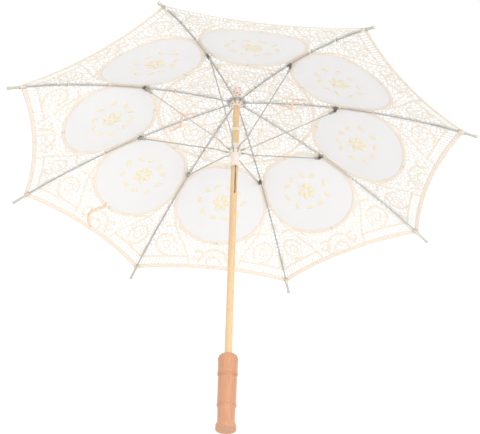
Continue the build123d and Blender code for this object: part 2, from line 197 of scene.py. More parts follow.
# ---- Canopy: its shape ---------------------------------------------------------------------------
# Eight gores of cotton and tape lace, sewn together along the ribs and stretched over them.
# It is worked out once round rib 1, from fold to fold in millimetres, and turned to each rib.
MM = 0.001
SECTOR = 2 * np.pi / RIBS
HALF = SECTOR / 2
FINIAL_H = 40.0
CROWN_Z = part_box("finial")[1].z / MM - FINIAL_H
HINGE_R = 8.5  # from the shaft's axis to a rib's hinge
ROOT_SLOPE = np.radians(10.9)
RIB_BEND_R = 1235.0
ROOM_OVER_RIB = 3.2
ROOM_AT_CROWN = 1.9
ROOM_FADE = 20.0
CLOTH_MIDDLE = 0.4  # the cloth's middle layer above its underside
CORNER_R = 381.0
HEM_MIDDLE_R = 335.0
DROOP = 7.0
SLOPE_STEP = 0.5  # to each side, where a slope is measured
hem_dip = CORNER_R * np.cos(HALF) - HEM_MIDDLE_R
HEM_ARC_R = ((CORNER_R * np.sin(HALF)) ** 2 + hem_dip**2) / (2 * hem_dip)
HEM_CENTRE = HEM_MIDDLE_R + HEM_ARC_R


def rib_height(r):
    """Height of a rib's line over the crown: the circle of radius RIB_BEND_R that leaves the hinge at the
    root slope."""
    centre_r = HINGE_R - RIB_BEND_R * np.sin(ROOT_SLOPE)
    centre_z = -HINGE_R * np.sin(ROOT_SLOPE) - RIB_BEND_R * np.cos(ROOT_SLOPE)
    return centre_z + np.sqrt(RIB_BEND_R**2 - (r - centre_r) ** 2)


def hem_radius(azimuth):
    """The hem in plan, an azimuth from its rib: one hollow arc from rib to rib, centred outside the gore."""
    c = HEM_CENTRE * np.cos(HALF - np.abs(azimuth))
    return c - np.sqrt(c**2 - HEM_CENTRE**2 + HEM_ARC_R**2)


def cloth_height(x, y):
    """Height of the cloth's middle layer over the crown. Level lines run straight from rib to rib, so the
    height is the rib's at r cos(azimuth from the fold) / cos(half a gore). A droop, which grows towards the
    middle of the hem, is taken off."""
    r, azimuth = np.hypot(x, y), np.abs(np.arctan2(y, x))
    rib_r = r * np.cos(HALF - azimuth) / np.cos(HALF)
    droop = DROOP * (r / HEM_MIDDLE_R) ** 2 * np.sin(np.pi / 2 * azimuth / HALF)
    room = ROOM_AT_CROWN * np.exp(-r / ROOM_FADE)
    return rib_height(rib_r) + ROOM_OVER_RIB + room + CLOTH_MIDDLE - droop


def gradient(field, x, y, step):
    """How fast a field over the plan rises along x and along y, from points a step to each side."""
    rise_x = (field(x + step, y) - field(x - step, y)) / (2 * step)
    rise_y = (field(x, y + step) - field(x, y - step)) / (2 * step)
    return rise_x, rise_y


def on_cloth(x, y, lift):
    """Points over plan places (x, y), a distance lift out along the cloth's normal, (-dz/dx, -dz/dy, 1)."""
    slope_x, slope_y = gradient(cloth_height, x, y, SLOPE_STEP)
    size = np.sqrt(slope_x**2 + slope_y**2 + 1)
    z = CROWN_Z + cloth_height(x, y) + lift / size
    return np.stack([x - lift * slope_x / size, y - lift * slope_y / size, z], -1)


def within_kite(x, y, side=0, beyond=0.0):
    """Places past a fold, or past the rib for a piece on one side of it, are turned back onto that line.
    The piece may reach an angle beyond the fold."""
    low = -HALF - beyond if side <= 0 else 0.0
    high = HALF + beyond if side >= 0 else 0.0
    r, azimuth = np.hypot(x, y), np.clip(np.arctan2(y, x), low, high)
    return r * np.cos(azimuth), r * np.sin(azimuth)


def closed_sheet(low, high, keep, uv):
    """A sheet with a thickness between two grids of points. Each kept cell gives a face on both grids, and
    each of its sides with nothing kept beyond it gives a wall. Returns the points, the faces, the points' uv
    and which faces are smooth."""
    rows, columns = low.shape[:2]
    number = np.arange(rows * columns).reshape(rows, columns)
    a, b, c, d = number[:-1, :-1], number[:-1, 1:], number[1:, 1:], number[1:, :-1]
    beyond, up = np.pad(keep, 1), number.size
    faces = [np.stack([a, d, c, b], -1)[keep] + up, np.stack([a, b, c, d], -1)[keep]]
    sides = [
        (a, b, beyond[:-2, 1:-1]),
        (b, c, beyond[1:-1, 2:]),
        (c, d, beyond[2:, 1:-1]),
        (d, a, beyond[1:-1, :-2]),
    ]
    for p, q, neighbour in sides:
        faces.append(np.stack([q, p, p + up, q + up], -1)[keep & ~neighbour])
    smooth = np.concatenate([np.full(len(f), i < 2) for i, f in enumerate(faces)])
    used, faces = np.unique(np.concatenate(faces), return_inverse=True)
    points = np.concatenate([low.reshape(-1, 3), high.reshape(-1, 3)])[used]
    return points, faces.reshape(-1, 4), np.tile(uv.reshape(-1, 2), (2, 1))[used], smooth


def piece(name, parts, made, k=1):
    """One mesh piece from several closed sheets, turned from rib 1's place to rib k's, in metres."""
    starts = np.cumsum([0] + [len(p[0]) for p in parts[:-1]])
    points = np.concatenate([p[0] for p in parts]) * MM
    faces = np.concatenate([p[1] + s for p, s in zip(parts, starts)])
    uv = np.concatenate([p[2] for p in parts]) * MM
    turn = (k - 1) * SECTOR
    spin = np.array([[np.cos(turn), np.sin(turn), 0], [-np.sin(turn), np.cos(turn), 0], [0, 0, 1]])
    mesh = bpy.data.meshes.new(name)
    mesh.from_pydata((points @ spin).tolist(), [], faces.tolist())
    mesh.polygons.foreach_set("use_smooth", np.concatenate([p[3] for p in parts]))
    mesh.uv_layers.new(name="UVMap").data.foreach_set("uv", uv[faces.ravel()].ravel().astype(np.float32))
    mesh.materials.append(made)
    mesh.update()
    made_piece = bpy.data.objects.new(name, mesh)
    bpy.context.scene.collection.objects.link(made_piece)
    return made_piece


def gather_with(made_piece, k):
    """Rides on rib k, with a mesh of its own."""
    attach(made_piece, f"rib_{k}")
    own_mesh(made_piece)


STRIP_DOME = 0.55  # the share of its thickness that a strip loses towards its edges
STRIP_ACROSS = 5  # points across it


def strip(x, y, half_width, thick, lift=0.0, side=0, beyond=0.0):
    """A tape laid on the cloth along a plan route. Its width may change along the route. Its section is a
    lens cut off at both edges, thick * (1 - STRIP_DOME c^2) at c from -1 to 1 across it."""
    dx, dy = np.gradient(x), np.gradient(y)
    size = np.hypot(dx, dy)
    c = np.linspace(-1, 1, STRIP_ACROSS)
    wide = (half_width * np.ones_like(x))[:, None] * c
    px, py = x[:, None] - (dy / size)[:, None] * wide, y[:, None] + (dx / size)[:, None] * wide
    px, py = within_kite(px, py, side, beyond)
    dome = thick / 2 * (1 - STRIP_DOME * c**2)
    lift = (lift * np.ones_like(x))[:, None]
    run = np.concatenate([[0], np.cumsum(np.hypot(np.diff(x), np.diff(y)))])
    uv = np.stack([run[:, None] * np.ones_like(c), wide], -1)
    keep = np.ones((len(x) - 1, len(c) - 1), bool)
    return closed_sheet(on_cloth(px, py, lift - dome), on_cloth(px, py, lift + dome), keep, uv)


# ---- Canopy: cotton ovals ------------------------------------------------------------------------
# One oval of plain bleached cotton in each gore, its edge sewn under a tape and its middle embroidered.
# Each kite holds the two half ovals beside its rib. The cloth is matt, faintly see-through and rather slack.
OVAL_R = 213.5
OVAL_REACH = 71.5
OVAL_SPAN = np.radians(20.7)
OVAL_POWERS = (2.8, 2.15)  # inner half, outer half
OVAL_GRID = (92, 104)  # rows, columns
COTTON_THICK = 0.2
COTTON_THREAD = 1.3  # coarser than the real cloth's third of a millimetre, which is too fine to show
SEAM_UNDER_TAPE = 2.6
GRID_PAST_SEAM = 3
SLACK_DEPTH = 0.35
SLACK_WAVE = 11  # mm for a radian of the wave
SLACK_FROM_SEAM = 20
FLAT_MIDDLE = 38  # the embroidery holds the cloth flat this far out
AT_FOLD = np.radians(0.006)  # a narrow column of cells beside each fold keeps the shading even across it
COTTON = "#f3f3f4"
COTTON_SHADE = "#eeeef0"


def outside_oval(x, y):
    """Distance out from the edge of the gore's oval, a superellipse in radius and azimuth:
    g = (|dr|^n + |da|^n)^(1/n) is 1 on the edge, and (g - 1) / |grad g| is the distance near it."""
    r, azimuth = np.hypot(x, y), HALF - np.abs(np.arctan2(y, x))
    dr, da = (r - OVAL_R) / OVAL_REACH, np.abs(azimuth) / OVAL_SPAN
    n = np.where(dr < 0, *OVAL_POWERS)
    g = np.maximum((np.abs(dr) ** n + da**n) ** (1 / n), 1e-3)
    slope_r = np.abs(dr) ** (n - 1) / OVAL_REACH
    slope_a = da ** (n - 1) / (OVAL_SPAN * np.maximum(r, 1))
    slope = g ** (1 - n) * np.hypot(slope_r, slope_a)
    return (g - 1) / np.maximum(slope, 1e-6)


def under_tape(x, y):
    """Above 0 on the gore's oval and on the allowance that is sewn under its tape."""
    return SEAM_UNDER_TAPE - outside_oval(x, y)


WAVE_LENGTH = 0.314  # of a wave pattern at scale 1, in the map's units
SLUB = 22  # mm between the thicker places in a yarn


def woven(name, pale, shade, spacing, roughness, through, strength):
    """Plain weave on the piece's UV map, whose units are metres: two crossed wave bands, spacing mm apart,
    as the bump, and a noise SLUB mm broad between two near shades. The share through is light that comes
    from behind."""
    made = finish(name, pale, roughness, Sheen_Weight=0.25, Sheen_Roughness=0.6)
    tree = made.node_tree
    place = add(made, "TexCoord", {}).outputs["UV"]
    scale = WAVE_LENGTH * MM_IN_METRE / spacing
    wavy = {"Vector": place, "Scale": scale, "Distortion": 1.2, "Detail Scale": 2}
    warp = add(made, "TexWave", wavy, bands_direction="X")
    weft = add(made, "TexWave", wavy, bands_direction="Y")
    height = add(made, "Math", {0: warp.outputs[1], 1: weft.outputs[1]}, operation="MULTIPLY")
    broad = add(made, "TexNoise", {"Vector": place, "Scale": MM_IN_METRE / SLUB, "Detail": 4})
    slubs = add(made, "Math", {0: broad.outputs[0], 1: height.outputs[0]}, operation="MULTIPLY")
    colour = add(made, "Mix", {0: slubs.outputs[0], 6: linear(pale), 7: linear(shade)}, data_type="RGBA")
    bump = add(made, "Bump", {"Height": height.outputs[0], "Strength": strength, "Distance": 0.0003})
    feed(made, Base_Color=colour.outputs[2], Normal=bump.outputs[0])
    behind = add(made, "BsdfTranslucent", {"Color": colour.outputs[2], "Normal": bump.outputs[0]})
    front = tree.nodes["Principled BSDF"].outputs[0]
    both = add(made, "MixShader", {0: through, 1: front, 2: behind.outputs[0]})
    tree.links.new(both.outputs[0], tree.nodes["Material Output"].inputs["Surface"])
    return made


EDGE_STEP = 0.2
LEAST_STEEPNESS = 0.3  # keeps a corner in place where the field is nearly level


def cut_sheet(r, azimuth, field, thick, lift):
    """A sheet on a polar grid, cut out where field(x, y) is above 0. Cells with their middle inside are
    kept, and each corner on the cut edge moves onto the edge's line, p - F grad F / |grad F|^2, by no more
    than a cell. The lift is a distance, or a function of the plan."""
    x, y = r * np.cos(azimuth), r * np.sin(azimuth)
    middle = [(v[:-1, :-1] + v[1:, :-1] + v[1:, 1:] + v[:-1, 1:]) / 4 for v in (x, y)]
    keep = field(*middle) > 0
    near = np.pad(keep, 1).astype(int)
    kept_round = near[:-1, :-1] + near[:-1, 1:] + near[1:, :-1] + near[1:, 1:]
    cells_round = np.full(x.shape, 4)
    cells_round[[0, -1]] = 2
    cells_round[:, [0, -1]] //= 2
    on_edge = (kept_round > 0) & (kept_round < cells_round)
    rise_x, rise_y = gradient(field, x, y, EDGE_STEP)
    cell = np.hypot(np.diff(x, axis=0).mean(), np.diff(y, axis=0).mean())
    steepness = np.maximum(rise_x**2 + rise_y**2, LEAST_STEEPNESS)
    pull = np.where(on_edge, -field(x, y) / steepness, 0.0).clip(-cell, cell)
    x, y = x + pull * rise_x, y + pull * rise_y
    size, azimuth = np.hypot(x, y), np.arctan2(y, x).clip(-HALF, HALF)
    azimuth[:, 0], azimuth[:, -1] = -HALF, HALF
    x, y = size * np.cos(azimuth), size * np.sin(azimuth)
    lift = lift(x, y) if callable(lift) else lift
    turn = np.where(azimuth >= 0, HALF, -HALF)
    uv = np.stack([size * np.cos(azimuth - turn), size * np.sin(azimuth - turn)], -1)
    return closed_sheet(on_cloth(x, y, lift - thick / 2), on_cloth(x, y, lift + thick / 2), keep, uv)


def polar_grid(inner_r, outer_r, rows, columns):
    """A grid from fold to fold: its rows share out the way from inner_r to outer_r(azimuth), and its
    columns share out the azimuth."""
    azimuth = np.pad(np.linspace(-HALF + AT_FOLD, HALF - AT_FOLD, columns), 1)[None, :]
    azimuth[:, [0, -1]] = -HALF, HALF
    share = np.linspace(0, 1, rows)[:, None]
    return inner_r + (outer_r(azimuth) - inner_r) * share, azimuth + 0 * share


def slack(x, y):
    """How far the slack cotton stands off the canopy's shape, in mm: shallow waves that run across the gore
    and die away towards the embroidery and the seam."""
    r, azimuth = np.hypot(x, y), HALF - np.abs(np.arctan2(y, x))
    middle = np.exp(-((r - OVAL_R) ** 2 + (r * azimuth) ** 2) / FLAT_MIDDLE**2)
    from_seam = np.clip(-outside_oval(x, y) / SLACK_FROM_SEAM, 0, 1)
    return SLACK_DEPTH * np.sin(r / SLACK_WAVE + 2 * np.cos(3 * azimuth)) * (1 - middle) * from_seam


def level(radius):
    """The same radius at every azimuth, as the outer edge of a grid."""
    return lambda azimuth: radius + 0 * azimuth


cotton = woven(
    "cotton, plain woven and bleached",
    COTTON,
    COTTON_SHADE,
    COTTON_THREAD,
    roughness=0.9,
    through=0.3,
    strength=0.35,
)
grid_end = level(OVAL_R + OVAL_REACH + GRID_PAST_SEAM)
oval_grid = polar_grid(OVAL_R - OVAL_REACH - GRID_PAST_SEAM, grid_end, *OVAL_GRID)
oval_sheet = cut_sheet(*oval_grid, under_tape, COTTON_THICK, slack)

# ---- Canopy: embroidery on the ovals -------------------------------------------------------------
# A six-petalled flower in satin stitch in the middle of each oval, with small leaves in pairs round it.
# Cream rayon thread lies side by side across each petal, so the petals stand up and shine a little.
EMBROIDERY_R = 210.0
PETAL_TURNS = (30, 90, 150)  # degrees from the fold
PETAL = (3.6, 17.0, 4.6)  # starts, ends and half width, in mm from the flower's middle
LEAF_RING = 33.0
LEAF_LENGTH = 14.0
LEAF_HALF = 3.2
LEAF_PLACES = ((22, 0.95, 70), (58, 1.15, -35), (92, 1.2, 60), (128, 1.05, -40), (160, 0.95, 55))
SATIN_THICK = 1.5
SATIN_PITCH = 0.9  # rows drawn three threads wide, because one is too fine to show
# The brighter places in the stitching are painted sheen.
SHEEN_CLOUD = 5  # mm across the brighter places in the stitching
STITCH = "#f8f0dc"
STITCH_SHADE = "#efe3c4"


def petal(x, y, angle, start, end, half_width):
    """A petal's plan route, straight out from (x, y) at an angle, and its half width along the route, which
    is w sin(pi t)^0.7 for t from 0 to 1."""
    t = np.linspace(0.02, 0.98, 13)
    out = start + (end - start) * t
    return x + out * np.cos(angle), y + out * np.sin(angle), half_width * np.sin(np.pi * t) ** 0.7


def stitched(name, pale, shade, pitch):
    """Threads side by side on the UV map: bands across the length, pitch mm apart, as bump and as painted
    shade, darker in the troughs between them, with a noise SHEEN_CLOUD mm broad as painted sheen."""
    made = finish(name, pale, 0.55, Sheen_Weight=0.4, Sheen_Roughness=0.4)
    place = add(made, "TexCoord", {}).outputs["UV"]
    scale = WAVE_LENGTH * MM_IN_METRE / pitch
    rows = add(made, "TexWave", {"Vector": place, "Scale": scale, "Distortion": 0.8})
    tone = add(made, "TexNoise", {"Vector": place, "Scale": MM_IN_METRE / SHEEN_CLOUD, "Detail": 3})
    shade_and_sheen = add(made, "Math", {0: rows.outputs[1], 1: tone.outputs[0]}, operation="MULTIPLY")
    # Painted shade and sheen: the troughs between rows take the darker colour, and the noise's clouds take
    # the paler one.
    colour = add(made, "Mix", {0: shade_and_sheen.outputs[0], 6: linear(shade), 7: linear(pale)}, data_type="RGBA")
    bump = add(made, "Bump", {"Height": rows.outputs[1], "Strength": 0.5, "Distance": 0.0003})
    feed(made, Base_Color=colour.outputs[2], Normal=bump.outputs[0])
    return made


def flower(side):
    """The half of an oval's embroidery on one side of the rib. Directions count from the fold's outward
    line, and a leaf has a turn, a share of the ring's radius and a tilt."""
    fold = side * HALF
    x, y = EMBROIDERY_R * np.cos(fold), EMBROIDERY_R * np.sin(fold)
    made = []
    for turn in PETAL_TURNS:
        made.append(petal(x, y, fold - side * np.radians(turn), *PETAL))
    for turn, reach, tilt in LEAF_PLACES:
        out = fold - side * np.radians(turn)
        leaf_x, leaf_y = x + reach * LEAF_RING * np.cos(out), y + reach * LEAF_RING * np.sin(out)
        along = out - side * np.radians(tilt)
        made.append(petal(leaf_x, leaf_y, along, -LEAF_LENGTH / 2, LEAF_LENGTH / 2, LEAF_HALF))
    return [strip(*route, SATIN_THICK, side=side) for route in made]


satin = stitched("rayon thread, satin stitched", STITCH, STITCH_SHADE, SATIN_PITCH)
flowers = flower(1) + flower(-1)

# ---- Canopy: tapes -------------------------------------------------------------------------------
# Woven cotton tape, a soft pinkish beige, bent into loops and scrolls and tacked down to make the lace.
# A wide tape edges each oval, another rings the inner part, narrow ones scroll, and a folded one binds
# the hem.
TAPE = "#fdf2e5"
TAPE_SHADE = "#f8e4d0"
OVAL_TAPE = 3.0  # half widths
RING_TAPE = 2.6
SCROLL_TAPE = 1.7
HEM_TAPE = 3.3
NARROW_TAPE = 1.2
WIDE_CORD = 1.1
CORD = 0.8
TAPE_THICK = 1.1
SCROLL_THICK = 1.0
CORD_THICK = 0.9
HEM_THICK = 1.5
TAPE_THREAD = 1.1  # coarser than the real one, which is too fine to show
RING_R = 133.0
RING_CORD_R = 125.5
WAVY_TAPE_R = 60
INNER_CORD_R = 33
ROSETTE_R = 94.0
ROSETTE_RINGS = (7.5, 19.5)
FAN_R = 329.0
FAN_ARCS = ((15, 100), (29, 97))  # radius, and degrees from the fold where the arc starts
DAISY = (312, 30)  # the middle of a round flower near each corner of the hem
DAISY_RINGS = (7, 18.5)
LOOP = (300, 93)  # the middle of a small ring against the hem
LOOP_RADIUS = 8.5
LEAF_ARCH = ((70, 3), (88, 8), (94, 20), (112, 12), (122, 3))
LONG_SCROLL = ((326, 84), (312, 80), (296, 66), (292, 34), (252, 15))
SHORT_SCROLL = ((283, 14), (268, 30), (272, 52), (284, 58))
LADDER_DEPTH = 20.0
LADDER_END = 13.5  # degrees from the rib


def half_oval(side, out):
    """Half an oval's edge moved out by a distance, from the fold at its inner end round to the fold at its
    outer end: r = R - a c^(2/n), azimuth = span * s^(2/n), for the cosine c and sine s of an angle from 0
    to pi."""
    t = np.linspace(0, np.pi, 73)
    power = 2 / np.where(t < np.pi / 2, *OVAL_POWERS)
    r = OVAL_R - OVAL_REACH * np.sign(np.cos(t)) * np.abs(np.cos(t)) ** power
    azimuth = HALF - OVAL_SPAN * np.sin(t) ** power
    x, y = r * np.cos(azimuth), r * np.sin(azimuth)
    dx, dy = np.gradient(x), np.gradient(y)
    size = np.hypot(dx, dy)
    return x + out * dy / size, side * (y - out * dx / size)


def arc(x, y, radius, start, end, side):
    """A circular arc round (x, y) from one angle to another, in degrees, with a point to 2 mm or so."""
    t = np.radians(np.linspace(start, end, max(9, int(abs(end - start) * radius / 120))))
    return x + radius * np.cos(t), side * (y + radius * np.sin(t))


def bend(side, *corners):
    """A smooth curve for a few corners: the Bezier curve that has them as its control points, worked out by
    taking the places between each neighbouring two, again and again, until one line of points is left."""
    t = np.linspace(0, 1, 33)
    x, y = (np.array(v, float)[:, None] + 0 * t for v in zip(*corners))
    while len(x) > 1:
        x, y = (v[:-1] * (1 - t) + v[1:] * t for v in (x, y))
    return x[0], side * y[0]


def hem_line(side, start, end, inside):
    """A line a distance inside the hem, between two azimuths from the rib in degrees."""
    azimuth = np.radians(np.linspace(start, end, 65))
    r = hem_radius(azimuth)
    across = np.hypot(1, np.gradient(r, azimuth) / r)
    r = r - inside * across
    return r * np.cos(azimuth), side * r * np.sin(azimuth)


def around(radius, wave=0.0):
    """A ring about the shaft from fold to fold, with a wave that is widest in the middle of each gore."""
    azimuth = HALF * np.linspace(-1, 1, 61)
    r = radius - wave * np.cos(RIBS * azimuth)
    return r * np.cos(azimuth), r * np.sin(azimuth)


def at_fold(r):
    """The place on the fold line at a radius."""
    return r * np.cos(HALF), r * np.sin(HALF)


tape = woven("cotton tape, woven", TAPE, TAPE_SHADE, TAPE_THREAD, roughness=0.8, through=0.15, strength=0.6)
fold_deg = np.degrees(HALF)
oval_tapes = [strip(*half_oval(s, OVAL_TAPE), OVAL_TAPE, TAPE_THICK, side=s) for s in (1, -1)]
hem_tapes = [strip(*hem_line(s, 0, fold_deg, HEM_TAPE), HEM_TAPE, HEM_THICK, side=s) for s in (1, -1)]

inner_scrolls = [
    strip(*around(RING_R), RING_TAPE, TAPE_THICK),
    strip(*around(RING_CORD_R), CORD, CORD_THICK),
    strip(*around(WAVY_TAPE_R, wave=11), SCROLL_TAPE, SCROLL_THICK),
    strip(*around(INNER_CORD_R, wave=3), WIDE_CORD, CORD_THICK),
]
outer_scrolls = []
fan = at_fold(FAN_R)
rosette = at_fold(ROSETTE_R)
for side in (1, -1):
    small_ring, large_ring = (arc(*rosette, r, fold_deg - 180, fold_deg, side) for r in ROSETTE_RINGS)
    inner_scrolls.append(strip(*small_ring, NARROW_TAPE, CORD_THICK, side=side))
    for route in (large_ring, bend(side, *LEAF_ARCH)):
        inner_scrolls.append(strip(*route, SCROLL_TAPE, SCROLL_THICK, side=side))
    for route in (
        *(arc(*fan, r, fold_deg - 180, fold_deg - turn, side) for r, turn in FAN_ARCS),
        hem_line(side, 0.5, LADDER_END + 0.5, LADDER_DEPTH),
        bend(side, *LONG_SCROLL),
    ):
        outer_scrolls.append(strip(*route, SCROLL_TAPE, SCROLL_THICK, side=side))
    small_ring = arc(*DAISY, DAISY_RINGS[0], 0, 360, side)
    outer_scrolls.append(strip(*small_ring, WIDE_CORD, CORD_THICK, side=side))
    for route in (
        arc(*DAISY, DAISY_RINGS[1], 100 - 20 * side, 395, side),
        arc(*LOOP, LOOP_RADIUS, -60, 250, side),
        bend(side, *SHORT_SCROLL),
    ):
        outer_scrolls.append(strip(*route, SCROLL_TAPE, SCROLL_THICK, side=side))

# ---- Canopy: leaves of the lace ------------------------------------------------------------------
# Between the tapes the lace has leaves and petals filled solid with cream thread.
# They are worked like the embroidery, a little flatter, and join the tapes where they are far apart.
THREAD = "#fbfaf8"
THREAD_SHADE = "#f2eee8"
DARNED_PITCH = 1.2  # four threads, because one is too fine to show
LEAF_THICK = 1.1


def leaf_strips(leaves):
    """Leaves on both sides of the rib, each from a place, an angle in degrees, where it starts and ends
    along that angle, and a half width."""
    made = []
    for side in (1, -1):
        for x, y, angle, start, end, half_width in leaves:
            px, py, wide = petal(x, y, np.radians(angle), start, end, half_width)
            made.append(strip(px, side * py, wide, LEAF_THICK, side=side))
    return made


darned = stitched("cotton thread, darned", THREAD, THREAD_SHADE, DARNED_PITCH)
inner_leaves = leaf_strips(
    [(*rosette, fold_deg - turn, 9.0, 17.5, 3.2) for turn in PETAL_TURNS]
    + [(0, 0, angle, 66, 84, 3.4) for angle in (6.25, 18.75)]
    + [(0, 0, angle, 38, 48, 1.8) for angle in (5, 17)]
    + [(0, 0, angle, 104, 117, 2.6) for angle in (7, 11.5)]
)
outer_leaves = leaf_strips(
    [(*DAISY, turn + 12, 8.5, 17, 2.9) for turn in range(0, 360, 60)]
    + [(*fan, fold_deg - turn, 16.5, 27.5, 2.8) for turn in (112, 135, 158)]
    + [(340, 4, 4, -14, 14, 2.8), (275, 6, 14, -12, 12, 3.0)]
    + [(262, 26, 38, -7, 9, 2.8), (289, 72, 60, -9, 9, 2.8)]
)

# ---- Canopy: net ---------------------------------------------------------------------------------
# The ground of the lace: bars of cream thread from tape to tape, in an uneven net whose holes are about
# 5 mm across. Near the hem's corners the bars are a ladder between the hem and the tape inside it.
NET_HOLE = 7.6  # from the middle of a hole to the next one's, as a mean
BAR = 1.3  # half a bar's width
BAR_NEAR_CROWN = 0.65  # taken off there, within about CROWN_NET_R
CROWN_NET_R = 50
LADDER_STEP = 5.4
LADDER_R = 350
NET_THICK = 0.7
NET_THREAD = 0.9  # two plies, because one is too fine to show
ALONG_RIB = 1.2  # half widths of the net's whole borders
ALONG_HEM = 3.0
ALONG_OVAL = 2.0
OVAL_BORDER = 2.5  # from the oval's edge to the border's middle
NET_MIDDLE_R = 189.0  # between the inner part and the outer part
NET_FOOT_R = 13.0
INNER_GRID = (132, 112)  # rows, columns
OUTER_GRID = (146, 176)
SEED_SQUARES = 128
SEEDS = np.random.default_rng(5).random((SEED_SQUARES, SEED_SQUARES, 2)) * 0.76 + 0.12


def net_walls(x, y):
    """Distance to the nearest wall between two cells of a net. Seeds stand one to a square of side NET_HOLE,
    each shifted at random. For the nearest two, s1 and s2, the wall is (d2^2 - d1^2) / (2 |s2 - s1|) away."""
    i, j = np.floor(x / NET_HOLE).astype(int), np.floor(y / NET_HOLE).astype(int)
    first = second = np.full(x.shape, 1e9)
    first_x = first_y = second_x = second_y = np.zeros(x.shape)
    for di in (-2, -1, 0, 1, 2):
        for dj in (-2, -1, 0, 1, 2):
            shift = SEEDS[(i + di) % SEED_SQUARES, (j + dj) % SEED_SQUARES]
            seed_x = (i + di + shift[..., 0]) * NET_HOLE
            seed_y = (j + dj + shift[..., 1]) * NET_HOLE
            d = (x - seed_x) ** 2 + (y - seed_y) ** 2
            nearest, next_nearest = d < first, (d >= first) & (d < second)
            second_x = np.where(nearest, first_x, np.where(next_nearest, seed_x, second_x))
            second_y = np.where(nearest, first_y, np.where(next_nearest, seed_y, second_y))
            second = np.where(nearest, first, np.where(next_nearest, d, second))
            first_x, first_y = np.where(nearest, seed_x, first_x), np.where(nearest, seed_y, first_y)
            first = np.where(nearest, d, first)
    apart = np.hypot(second_x - first_x, second_y - first_y)
    return (second - first) / (2 * np.maximum(apart, 1e-3))


def net_field(k):
    """Above 0 on the bars and borders of the kite at rib k, and below 0 in the holes and the ovals. The net
    is drawn in the whole canopy's plan, so that it runs on from kite to kite."""

    def field(x, y):
        turn = (k - 1) * SECTOR
        bars = BAR - net_walls(x * np.cos(turn) - y * np.sin(turn), x * np.sin(turn) + y * np.cos(turn))
        r, azimuth = np.hypot(x, y), np.abs(np.arctan2(y, x))
        from_hem = hem_radius(np.minimum(azimuth, HALF)) - r
        along = azimuth * LADDER_R / LADDER_STEP
        rungs = BAR - np.abs(along - np.round(along)) * LADDER_STEP
        ladder = (from_hem < LADDER_DEPTH + 2) & (azimuth < np.radians(LADDER_END))
        bars = np.where(ladder, rungs, bars) - BAR_NEAR_CROWN * np.exp(-((r / CROWN_NET_R) ** 4))
        bars = np.maximum(bars, ALONG_RIB - r * azimuth)
        bars = np.maximum(bars, ALONG_HEM - from_hem)
        gap = outside_oval(x, y)
        bars = np.maximum(bars, ALONG_OVAL - np.abs(gap - OVAL_BORDER))
        return np.minimum(bars, gap - (OVAL_BORDER - ALONG_OVAL))

    return field


thread = woven(
    "cotton thread, twisted",
    THREAD,
    THREAD_SHADE,
    NET_THREAD,
    roughness=0.85,
    through=0.15,
    strength=0.5,
)
inner_grid = polar_grid(NET_FOOT_R, level(NET_MIDDLE_R), *INNER_GRID)
outer_grid = polar_grid(NET_MIDDLE_R, hem_radius, *OUTER_GRID)


def cloth_area(r, azimuth, field):
    """Area of the cloth where the field is above 0, in square metres, added up from a grid's cells: half
    the length of the cross product of a cell's diagonals."""
    x, y = r * np.cos(azimuth), r * np.sin(azimuth)
    points = on_cloth(x, y, 0.0) * MM
    diagonal, other = points[1:, 1:] - points[:-1, :-1], points[1:, :-1] - points[:-1, 1:]
    cells = np.linalg.norm(np.cross(diagonal, other), axis=-1) / 2
    inside = field((x[1:, 1:] + x[:-1, :-1]) / 2, (y[1:, 1:] + y[:-1, :-1]) / 2) > 0
    return float(cells[inside].sum())


inner_area = cloth_area(*inner_grid, outside_oval)
outer_area = cloth_area(*outer_grid, outside_oval)
oval_area = cloth_area(*oval_grid, under_tape)
for k in rib_numbers:
    field = net_field(k)
    net_inner = piece(f"net_inner_{k}", [cut_sheet(*inner_grid, field, NET_THICK, 0.0)], thread, k)
    net_outer = piece(f"net_outer_{k}", [cut_sheet(*outer_grid, field, NET_THICK, 0.0)], thread, k)
    cotton_ovals = piece(f"cotton_ovals_{k}", [oval_sheet], cotton, k)
    embroidery = piece(f"embroidery_{k}", flowers, satin, k)
    oval_edges = piece(f"oval_tape_{k}", oval_tapes, tape, k)
    hem = piece(f"hem_tape_{k}", hem_tapes, tape, k)
    scrolls_in = piece(f"scrolls_inner_{k}", inner_scrolls, tape, k)
    scrolls_out = piece(f"scrolls_outer_{k}", outer_scrolls, tape, k)
    leaves_in = piece(f"leaves_inner_{k}", inner_leaves, darned, k)
    leaves_out = piece(f"leaves_outer_{k}", outer_leaves, darned, k)
    for part in (net_inner, scrolls_in, leaves_in):
        gather_with(part, k)
    for part in (cotton_ovals, embroidery, oval_edges):
        gather_with(part, k)
    for part in (net_outer, hem, scrolls_out, leaves_out):
        gather_with(part, k)
    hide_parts(f"canopy_cloth_{k}")

# ---- Crown: the round patch under the finial -----------------------------------------------------
# A disc of the same cotton, sewn over the tips of the gores, with a hole for the shaft.
# It stays on the stick when the parasol closes, and covers the place where the gores come together.
PATCH_R = 17.0
PATCH_HOLE_R = 6.4
PATCH_POINTS = 61  # along each side of its grid
PATCH_LIFT = 0.7
PATCH_THICK = 0.6
RIPPLE = 0.25
RIPPLES = 24


def disc_grid(count):
    """A square grid drawn out to a disc of radius 1: x = u sqrt(1 - v^2 / 2), y = v sqrt(1 - u^2 / 2)."""
    v, u = np.meshgrid(np.linspace(-1, 1, count), np.linspace(-1, 1, count))
    return u * np.sqrt(1 - v**2 / 2), v * np.sqrt(1 - u**2 / 2)


